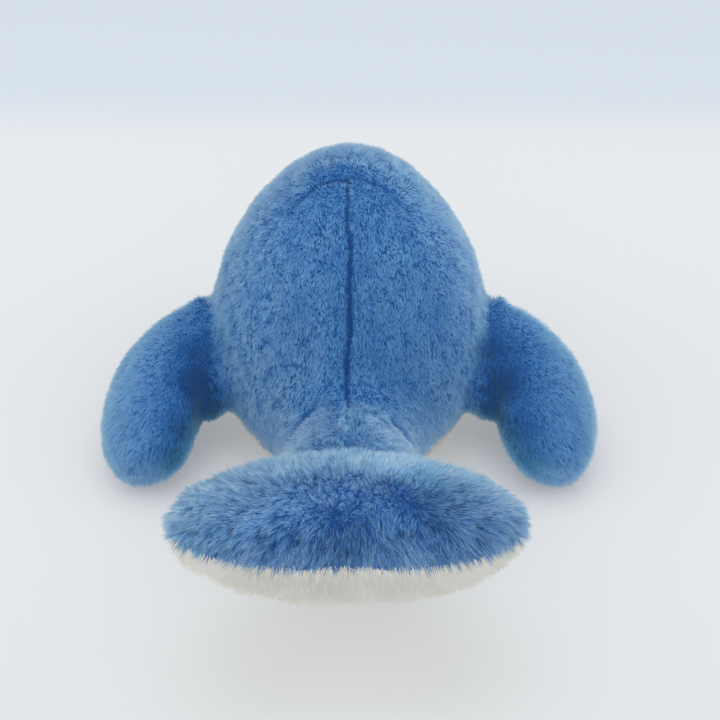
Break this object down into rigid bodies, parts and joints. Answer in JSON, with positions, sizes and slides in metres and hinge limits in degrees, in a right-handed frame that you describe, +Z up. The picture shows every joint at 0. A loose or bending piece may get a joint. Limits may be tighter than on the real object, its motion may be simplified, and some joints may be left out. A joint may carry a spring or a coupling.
{
  "type": "plush whale",
  "caption": "Stuffed toy whale of sewn plush panels, with swept flippers, tipped-up flukes, glossy bead eyes and a weighted belly that rests flat.",
  "frame": {"origin": "on the surface that the whale rests on, under the middle of its box", "axes": "+Y towards the nose, +X towards the right flipper as seen from behind, +Z up"},
  "size_m": [0.3882, 0.5098, 0.2],
  "materials": {
    "blue_plush": "soft short-pile plush in mid blue",
    "cream_plush": "soft short-pile plush in warm cream",
    "stuffing_fibre": "loose white polyester fibre",
    "pouch_cloth": "plain woven cloth over beads",
    "eye_black": "polished black plastic",
    "washer_white": "plain moulded plastic"
  },
  "bodies": {
    "body": {"back_left_panel": "blue_plush", "back_right_panel": "blue_plush", "face_panel": "blue_plush", "belly_panel": "cream_plush", "body_stuffing": "stuffing_fibre", "bean_pouch": "pouch_cloth", "eye_left": "eye_black", "eye_right": "eye_black", "eye_left_washer": "washer_white", "eye_right_washer": "washer_white"},
    "flipper_left": {"flipper_left_upper_panel": "blue_plush", "flipper_left_lower_panel": "blue_plush", "flipper_left_stuffing": "stuffing_fibre"},
    "flipper_right": {"flipper_right_upper_panel": "blue_plush", "flipper_right_lower_panel": "blue_plush", "flipper_right_stuffing": "stuffing_fibre"},
    "fluke": {"fluke_upper_panel": "blue_plush", "fluke_lower_panel": "cream_plush", "fluke_stuffing": "stuffing_fibre"}
  },
  "joints": [
    {"name": "flipper_left_flap", "type": "hinge", "parent": "body", "child": "flipper_left", "pos_m": [-0.11672, 0.0643, 0.07], "axis": [-0.1344, 0.9565, 0.2588], "range_deg": [-15, 35], "stiffness_Nm_per_rad": 0.3, "springref_deg": 1.32},
    {"name": "flipper_right_flap", "type": "hinge", "parent": "body", "child": "flipper_right", "pos_m": [0.11672, 0.0643, 0.07], "axis": [-0.1344, -0.9565, -0.2588], "range_deg": [-15, 35], "stiffness_Nm_per_rad": 0.3, "springref_deg": 1.32},
    {"name": "fluke_flap", "type": "hinge", "parent": "body", "child": "fluke", "pos_m": [0, -0.14204, 0.078], "axis": [-1, 0, 0], "range_deg": [-20, 20], "stiffness_Nm_per_rad": 1.5, "springref_deg": 1.83}
  ]
}
